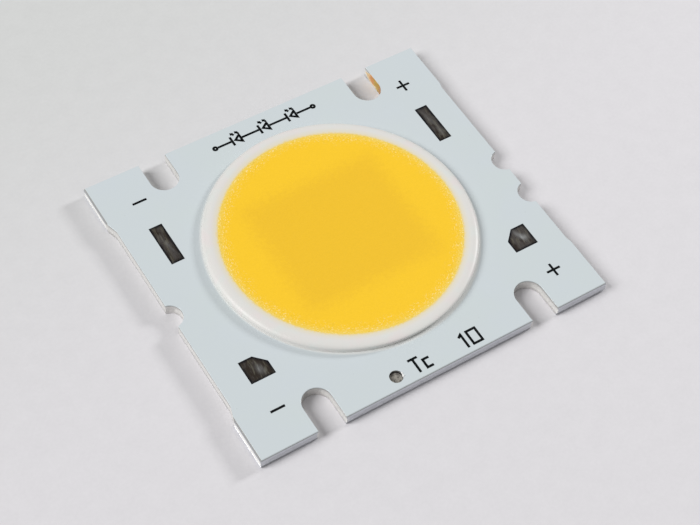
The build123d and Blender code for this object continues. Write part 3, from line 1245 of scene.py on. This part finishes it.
@dataclass
class Legend:
    """Printed signs, drawn as strokes of ink."""

    width: float = 0.30
    thickness: float = 0.012
    step: float = 0.12
    ragged: float = 0.012
    arm: float = 1.75 / 2
    top: float = -17.42

    def ribbon(self, shell: Shell, path: Sequence[Point], closed: bool) -> None:
        """Adds one stroke with mitred corners and slightly uneven edges.

        Args:
            shell: the mesh that takes the stroke.
            path: the stroke's middle line.
            closed: whether the stroke joins its own start.
        """
        fine = stepped(path, closed, self.step)
        if not closed:
            fine.append(path[-1])
        last = len(fine) - 1
        rows = []
        for i, (x, y) in enumerate(fine):
            before = fine[i - 1] if closed or i else fine[i]
            after = fine[(i + 1) % len(fine)] if closed or i < last else fine[i]
            a = Vector((x - before[0], y - before[1]))
            b = Vector((after[0] - x, after[1] - y))
            a = a.normalized() if a.length else b.normalized()
            b = b.normalized() if b.length else a
            joint = (a + b).normalized()
            reach = self.width / 2 / max(0.5, joint.dot(a))
            left, right = (reach + self.ragged * wobble(x, y, z, 6.0) for z in (1.0, 5.0))
            row = []
            edges = ((left, 0.0), (left * 0.9, 1.0), (-right * 0.9, 1.0), (-right, 0.0))
            for offset, lift in edges:
                z = BOARD_TOP + lift * self.thickness
                row.append((x - joint.y * offset, y + joint.x * offset, z))
            rows.append(shell.ring(row))
        shell.lofts([*rows, rows[0]] if closed else rows)
        if not closed:
            shell.ends(rows)

    def sign(
        self, name: str, strokes: Sequence[Stroke], blots: Sequence[Sequence[Point]] = ()
    ) -> bpy.types.Object:
        """Builds one printed sign.

        Args:
            name: the piece's name.
            strokes: the middle line of each stroke, and whether it closes on itself.
            blots: the outlines of filled shapes.

        Returns:
            The new object.
        """
        shell = Shell()
        for path, closed in strokes:
            self.ribbon(shell, path, closed)
        for corners in blots:
            low = shell.level(corners, BOARD_TOP)
            high = shell.level(corners, BOARD_TOP + self.thickness)
            shell.loft(low, high)
            shell.ends([high, low])
        return shell.build(name, 60.0)

    def signs(self) -> list[bpy.types.Object]:
        """Builds the polarity signs, the case-temperature legend, the number and the symbol."""
        arm, gap = self.arm, self.width / 2
        made = []
        for name, x, y in (
            ("sign_minus_back", -17.66, 15.33),
            ("sign_plus_back", 18.03, 15.33),
            ("sign_minus_front", -17.69, -15.62),
            ("sign_plus_front", 18.13, -15.65),
        ):
            strokes: list[Stroke] = [([(x - arm, y), (x + arm, y)], False)]
            if "plus" in name:
                strokes.append(([(x, y + gap), (x, y + arm)], False))
                strokes.append(([(x, y - arm), (x, y - gap)], False))
            made.append(self.sign(name, strokes))
        made.append(self.sign("legend_case_temperature", self.case_temperature()))
        made.append(self.sign("legend_number", self.number()))
        made.append(self.sign("legend_diode_symbols", *self.symbol()))
        return made

    def case_temperature(self) -> list[Stroke]:
        """Strokes of the capital and the small letter for the case temperature."""
        half, top = self.width / 2, self.top
        foot, stem, small_top = -19.40, -2.14, -18.02
        left, right = -1.33 + half, -0.41
        high, low = small_top - half, foot + half
        small = [(right, high), (left, high), (left, low), (right, low)]
        return [
            ([(-2.735, top - half), (-1.53, top - half)], False),
            ([(stem, top - self.width), (stem, foot)], False),
            (small, False),
        ]

    def number(self) -> list[Stroke]:
        """Strokes of the plain number beside it."""
        half = self.width / 2
        top, foot = self.top - half, -19.42 + half
        left, right = 4.70 + half, 6.13 - half
        return [
            ([(3.72, top - 0.32), (4.13, top), (4.13, foot - half)], False),
            ([(left, foot), (right, foot), (right, top), (left, top)], True),
        ]

    def symbol(self) -> tuple[list[Stroke], list[list[Point]]]:
        """Strokes and filled shapes of three light-emitting diodes wired in a row."""
        y, ends, eye = 17.84, (-6.44, 6.80), 0.22
        half = self.width / 2
        strokes: list[Stroke] = [(circle((x, y), eye, 16), True) for x in ends]
        blots: list[list[Point]] = []
        here = ends[0] + eye + half
        for x in (-3.55, 0.18, 3.91):
            bar, tip, base = x - 0.62, x - 0.62 + self.width, x + 0.52
            strokes.append(([(here, y), (bar - half, y)], False))
            strokes.append(([(bar, y - 0.68), (bar, y + 0.68)], False))
            strokes.append(([(tip + 0.12, y), (base, y + 0.52), (base, y - 0.52)], True))
            here = base + half
            for start in (x - 0.02, x + 0.58):
                foot, peak = (start, y + 0.74), (start - 0.17, y + 0.98)
                strokes.append(([foot, peak], False))
                head = (start - 0.34, y + 1.22)
                wings = [(peak[0] + 0.24, peak[1] + 0.08), (peak[0] - 0.24, peak[1] - 0.16)]
                blots.append([wings[0], head, wings[1]])
        strokes.append(([(here, y), (ends[1] - eye - half, y)], False))
        return strokes, blots


# Small things along the edges


@dataclass(frozen=True)
class AmberResidue:
    """Dried amber film on the right wall of the slot at the back right."""

    wall: float = 15.595
    arc_centre: Point = (13.87, 16.975)
    radius: float = 1.725
    mouth: float = 19.85
    into_arc: float = 0.95
    film: float = 0.035
    middle: float = 0.82
    half_height: float = 0.66

    def path(self, share: float) -> tuple[float, float, float, float]:
        """Place on the wall and the direction off it, from the mouth at 0 to the end at 1."""
        straight = self.mouth - self.arc_centre[1]
        run = share * (straight + self.into_arc)
        if run <= straight:
            return (self.wall, self.mouth - run, -1.0, 0.0)
        turn = -(run - straight) / self.radius
        nx, ny = math.cos(turn), math.sin(turn)
        (cx, cy), r = self.arc_centre, self.radius
        return (cx + r * nx, cy + r * ny, -nx, -ny)

    def build(self) -> bpy.types.Object:
        """Builds the film as a thin closed sheet with a ragged outline."""
        shell = Shell()
        rows = []
        steps, rise = 60, 14
        heights = [j / rise for j in range(rise + 1)]
        for share in (i / steps for i in range(steps + 1)):
            x, y, nx, ny = self.path(share)
            taper = min(1.0, share / 0.28, (1 - share) / 0.16 + 0.05)
            middle = self.middle + 0.10 * (1 - taper)
            half = self.half_height * taper + 0.03
            rag = wobble(y, 0.0, 0.0, 2.2, 3.0) + 0.7 * wobble(y, 0.0, 0.0, 6.5, 5.0)
            low = max(0.06, middle - half + 0.16 * rag)
            high = min(1.52, middle + half + 0.10 * wobble(y, 0.0, 0.0, 3.0, 8.0))
            front, back = [], []
            for j, level in enumerate(heights):
                z = low + (high - low) * j / rise
                belly = math.sin(math.pi * j / rise) ** 0.5
                thick = self.film * belly * (0.7 + 0.5 * wobble(x, y, z, 2.4, 5.0)) + 0.004
                front.append((x + nx * thick, y + ny * thick, z))
                back.append((x - nx * 0.03, y - ny * 0.03, z))
            row = shell.ring(front + back[::-1])
            shell.mark("along", row, [share] * len(row))
            shell.mark("height", row, heights + heights[::-1])
            rows.append(row)
        shell.lofts(rows)
        shell.ends(rows)
        return shell.build("amber_residue", 50.0)


@dataclass(frozen=True)
class Crumbs:
    """Small crumbs set along a line by the geometry tree."""

    name: str
    path: tuple[Point3, ...]
    spacing: float
    share: float
    size: float
    scatter: float
    seed: int

    def build(self, tree: bpy.types.NodeTree) -> bpy.types.Object:
        """Runs the tree on the line and returns the crumbs as one mesh."""
        values = {
            "Spacing": self.spacing * MM,
            "Share": self.share,
            "Size": self.size * MM,
            "Scatter": self.scatter * MM,
            "Seed": self.seed,
        }
        line = bpy.data.meshes.new(self.name + "_line")
        edges = [(i, i + 1) for i in range(len(self.path) - 1)]
        line.from_pydata([Vector(p) * MM for p in self.path], edges, [])
        return grow(self.name, line, tree, values)


def scatter_tree(material: bpy.types.Material) -> bpy.types.NodeTree:
    """Builds the geometry tree that sets small crumbs along a line.

    Args:
        material: the finish of the crumbs.

    Returns:
        The tree, with inputs for spacing, share, size, scatter and seed.
    """
    sockets = "Geometry:Geometry Spacing Share Size Scatter Seed:Int"
    tree_name, solid = "crumbs_along_an_edge", "Geometry:Geometry"
    g, given, out = open_tree("GeometryNodeTree", tree_name, sockets, solid)

    def drawn(low: Any, high: Any, shift: int) -> Any:
        """Returns a random vector between two, from the seed plus a shift."""
        inputs = {0: low, 1: high, "Seed": g.plus(given["Seed"], shift)}
        return g.add("FunctionNodeRandomValue", inputs, data_type="FLOAT_VECTOR").outputs[0]

    full_turn = (6.283, 6.283, 6.283)
    shapes = ((0.35, 0.3, 0.2), (1.4, 0.9, 0.6))
    line = g.add("GeometryNodeMeshToCurve", {0: given["Geometry"]}).outputs[0]
    spaced = {"Curve": line, "Length": given["Spacing"]}
    even = g.add("GeometryNodeCurveToPoints", spaced, mode="LENGTH").outputs["Points"]
    chance = {"Probability": given["Share"], "Seed": given["Seed"]}
    lot = g.add("FunctionNodeRandomValue", chance, data_type="BOOLEAN").outputs[3]
    near, far = (g.combine(*[g.times(given["Scatter"], way)] * 3) for way in (-1.0, 1.0))
    away = drawn(near, far, 1)
    moved = g.add("GeometryNodeSetPosition", {"Geometry": even, "Offset": away}).outputs[0]
    crumb = g.add("GeometryNodeMeshIcoSphere", {"Radius": 1.0, "Subdivisions": 1}).outputs[0]
    turn = drawn((0.0, 0.0, 0.0), full_turn, 2)
    size = g.scaled(drawn(*shapes, 3), given["Size"])
    inputs = {"Points": moved, "Selection": lot, "Instance": crumb, "Rotation": turn, "Scale": size}
    placed = g.add("GeometryNodeInstanceOnPoints", inputs).outputs[0]
    real = g.add("GeometryNodeRealizeInstances", {0: placed}).outputs[0]
    finished = g.add("GeometryNodeSetMaterial", {"Geometry": real, "Material": material})
    g.feed(out, 0, finished.outputs[0])
    return g.tree


def grow(
    name: str,
    carrier: bpy.types.Mesh,
    tree: bpy.types.NodeTree,
    values: dict[str, Any],
) -> bpy.types.Object:
    """Runs a geometry tree on a carrier mesh and keeps the result as a plain mesh.

    Args:
        name: the piece's name.
        carrier: the mesh that the tree starts from.
        tree: the geometry tree.
        values: the tree's inputs by name.

    Returns:
        The new object, with no modifier left on it.
    """
    holder = bpy.data.objects.new(name + "_carrier", carrier)
    bpy.context.scene.collection.objects.link(holder)
    modifier = holder.modifiers.new("grow", "NODES")
    modifier.node_group = tree
    for item in tree.interface.items_tree:
        if item.item_type == "SOCKET" and item.in_out == "INPUT" and item.name in values:
            modifier[item.identifier] = values[item.name]
    graph = bpy.context.evaluated_depsgraph_get()
    mesh = bpy.data.meshes.new_from_object(holder.evaluated_get(graph))
    mesh.name = name
    holder.modifiers.clear()
    bpy.data.objects.remove(holder)
    return finish_mesh(mesh, name, 30.0)


# Light, floor and camera


@dataclass(frozen=True)
class SoftBox:
    """One square area lamp, set by where it stands as seen from the object."""

    name: str
    azimuth: float
    elevation: float
    distance: float
    size: float
    share: float

    def build(self) -> None:
        """Adds the lamp, with the power that gives its share of the light on the floor."""
        lamp = bpy.data.lights.new(self.name, "AREA")
        lamp.shape = "SQUARE"
        lamp.size = self.size
        rise, turn = math.radians(self.elevation), math.radians(self.azimuth)
        lamp.energy = self.share * math.pi**2 * self.distance**2 / math.sin(rise)
        level = math.cos(rise)
        away = Vector((level * math.cos(turn), level * math.sin(turn), math.sin(rise)))
        holder = bpy.data.objects.new(self.name, lamp)
        holder.location = away * self.distance
        holder.rotation_mode = "QUATERNION"
        holder.rotation_quaternion = (-away).to_track_quat("-Z", "Y")
        bpy.context.scene.collection.objects.link(holder)


@dataclass(frozen=True)
class PhotoView:
    """The photograph's camera, fitted to the board's outline."""

    place: Point3 = (-63.236, -86.503, 150.78)
    target: Point3 = (-1.265, -3.561, 1.6)
    roll: float = 5.939
    lens: float = 83.772

    def build(self) -> None:
        """Adds the camera and makes it the scene's."""
        data = bpy.data.cameras.new("photo_camera")
        data.sensor_width = 36.0
        data.lens = self.lens
        data.clip_start = 0.01
        data.clip_end = 10.0
        camera = bpy.data.objects.new("photo_camera", data)
        camera.location = Vector(self.place) * MM
        look = (Vector(self.target) - Vector(self.place)).to_track_quat("-Z", "Y")
        turn = look.to_matrix() @ Matrix.Rotation(math.radians(self.roll), 3, "Z")
        camera.rotation_mode = "QUATERNION"
        camera.rotation_quaternion = turn.to_quaternion()
        bpy.context.scene.collection.objects.link(camera)
        bpy.context.scene.camera = camera


@dataclass(frozen=True)
class FloorPaper(Finish):
    """Pale floor paper with a soft drift of tone and a fine tooth."""

    grain: tuple[float, ...] = (2.4, 0.5, 0.975, 1.02)
    relief: float = 0.02
    near: Colour = srgb(219, 217, 220)
    far: Colour = srgb(209, 210, 209)
    slope: Point3 = (0.002, -0.012, 0.0)

    def detail(self, g: Surface) -> Any:
        """Returns the drift from the back left to the front right, with the tooth."""
        drift = g.ramp(g.vector("DOT_PRODUCT", g.place, self.slope, output=1), -0.65, 0.10)
        g.feed(g.shader, "Roughness", g.span(g.height, 0.6, 0.8))
        return g.shaded(g.mix(drift, self.far, self.near), g.value)


@dataclass
class Studio:
    """Pale floor, two soft lamps and an even world."""

    ambient: float = 0.34
    floor_half: float = 900.0

    def build(self, effects: Effects) -> None:
        """Adds the floor, the lamps, the world and the camera."""
        scene = bpy.context.scene
        scene.view_settings.view_transform = "Standard"
        PhotoView().build()
        SoftBox("key_lamp", 168.0, 42.0, 1.50, 0.75, 0.52).build()
        SoftBox("fill_lamp", 2.0, 27.5, 0.60, 0.11, 0.21).build()
        world = bpy.data.worlds.new("even_world")
        world.use_nodes = True
        background = world.node_tree.nodes["Background"]
        background.inputs[0].default_value = (1.0, 1.0, 1.0, 1.0)
        background.inputs[1].default_value = self.ambient
        scene.world = world
        shell = Shell()
        h = self.floor_half
        shell.faces.append(tuple(shell.level([(-h, -h), (h, -h), (h, h), (-h, h)], 0.0)))
        floor = shell.build("floor")
        floor.data.materials.append(FloorPaper("floor_paper", specular=0.3).make(effects))


# The whole part


FINISHES: dict[str, Finish] = {
    "core": BoardCore("aluminium_core", metallic=1.0),
    "dielectric": Mottled(
        "filled_epoxy",
        colour=(0.30, 0.30, 0.27),
        warm=(0.36, 0.34, 0.28),
        cool=(0.26, 0.27, 0.26),
        scale=2.0,
    ),
    "mask": SolderMask("white_mask"),
    "silicone": Silicone("white_silicone", specular=0.45),
    "gel": PhosphorGel("phosphor_gel", specular=0.4),
    "tin": Tin("levelled_tin", metallic=1.0),
    "copper": Metal("copper_foil", 1.0, colour=(0.80, 0.42, 0.26), dull=(0.55, 0.27, 0.16)),
    "gold": Metal(
        "gold_wire",
        metallic=1.0,
        colour=(0.90, 0.66, 0.25),
        dull=(0.75, 0.52, 0.18),
        streak_scale=12.0,
    ),
    "die": Mottled(
        "die_sapphire",
        specular=0.8,
        grain=(12.0, 3.0, 0.08, 0.2),
        relief=0.001,
        colour=(0.42, 0.50, 0.62),
        warm=(0.50, 0.52, 0.58),
        cool=(0.36, 0.46, 0.62),
        scale=1.5,
    ),
    "glue": Mottled(
        "die_glue",
        colour=(0.75, 0.74, 0.70),
        warm=(0.70, 0.68, 0.62),
        cool=(0.78, 0.78, 0.76),
        scale=2.5,
    ),
    "ink": Mottled(
        "legend_ink",
        specular=0.06,
        grain=(16.0, 3.0, 0.5, 0.7),
        relief=0.004,
        colour=(0.004, 0.005, 0.006),
        warm=(0.010, 0.010, 0.010),
        cool=(0.003, 0.004, 0.005),
        scale=2.0,
    ),
    "amber": AmberFilm("amber_residue", specular=0.6),
    # Mask crumbs, whitened past the mask's own colour as painted glints.
    "glinting_crumbs": Mottled(
        "mask_crumbs_glinting",
        colour=(0.90, 0.90, 0.88),
        warm=(0.80, 0.78, 0.74),
        cool=(0.93, 0.94, 0.95),
        scale=3.0,
    ),
}


@dataclass
class LedArray:
    """The whole light-emitting-diode array."""

    effects: Effects

    def build(self) -> None:
        """Builds and dresses every piece in order."""
        made = {name: finish.make(self.effects) for name, finish in FINISHES.items()}
        pads = self.pads()
        board = Board(BoardPlan())
        dress(board.core(), made["core"], Slot.CORE, "base_plate")
        dress(board.dielectric(), made["dielectric"], Slot.DIELECTRIC, "dielectric_layer")
        dress(board.mask([pad.outline() for pad in pads]), made["mask"], Slot.MASK, "solder_mask")
        for pad in pads:
            dress(pad.build(), made["tin"], Slot.TIN, pad.node)
        field = LightField()
        dress(field.dam(), made["silicone"], Slot.SILICONE, "dam_ring")
        dress(field.gel(), made["gel"], Slot.PHOSPHOR, "phosphor_gel")
        for sign in Legend().signs():
            dress(sign, made["ink"])
        dress(AmberResidue().build(), made["amber"])
        pale = scatter_tree(made["glinting_crumbs"])
        for crumbs in self.crumbs():
            dress(crumbs.build(pale), made["glinting_crumbs"], Slot.MASK)
        for node, finish in (
            ("minus_copper", "copper"),
            ("plus_copper", "copper"),
            ("led_dies", "die"),
            ("die_glue", "glue"),
            ("bond_wires", "gold"),
        ):
            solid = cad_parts[node]
            solid.data.materials.clear()
            solid.data.materials.append(made[finish])
            log.info("kept %s in %s", node, made[finish].name)

    def pads(self) -> list[Pad]:
        """Lists the four pads with the painted reflection patches of their tin."""
        reflections = {
            "minus_pad_back": [(0.16, -0.55, 0.15, 1.15, 0.22, 0.34)],
            "minus_pad_front": [(0.20, -0.30, 0.36, 0.62, 0.12, 0.66)],
            "plus_pad_back": [
                (-0.10, 0.95, 0.20, 1.25, 0.20, 0.24),
                (0.16, -1.2, 0.20, 0.9, 0.10, 0.20),
            ],
            "plus_pad_front": [
                (0.16, 0.30, 0.26, 0.72, 0.30, 0.95),
                (0.62, -0.10, 0.34, 0.40, 0.0, 0.55),
            ],
        }
        pads = []
        for node, rows in reflections.items():
            side = 1 if node.startswith("plus") else -1
            lights = tuple(ReflectionPatch(*row) for row in rows)
            pads.append(Pad(node, side, node.endswith("back"), lights))
        return pads

    def crumbs(self) -> list[Crumbs]:
        """Lists the torn crumbs of mask along the punched edges and at the probe hole, whitened as
        painted glints.
        """
        z, top = BOARD_TOP - 0.02, BOARD_TOP + 0.01
        relief, left, right = -21.80, -11.905, 15.595
        edges = (
            ("left_relief", relief, -12.8, 12.8, 0.12, 0.25, 0.035, 0.02, 3),
            ("front_left_slot", left, -19.95, -18.9, 0.05, 0.7, 0.05, 0.03, 5),
            ("front_right_slot", right, -19.95, -18.7, 0.05, 0.7, 0.06, 0.04, 7),
            ("back_right_slot", right, 19.9, 17.0, 0.06, 0.5, 0.045, 0.03, 9),
        )
        rows = [
            Crumbs("crumbs_" + place, ((x, start, z), (x, end, z)), *values)
            for place, x, start, end, *values in edges
        ]
        glinting_crumbs = ((-4.02, -18.40, top), (-4.02, -18.66, top), (-4.12, -18.95, top))
        return [*rows, Crumbs("crumbs_probe", glinting_crumbs, 0.10, 0.9, 0.17, 0.02, 12)]


def main() -> None:
    """Builds the studio and the part."""
    logging.basicConfig(level=logging.INFO, format="%(name)s: %(message)s")
    effects = Effects()
    Studio().build(effects)
    LedArray(effects).build()


if __name__ == "__main__":
    main()
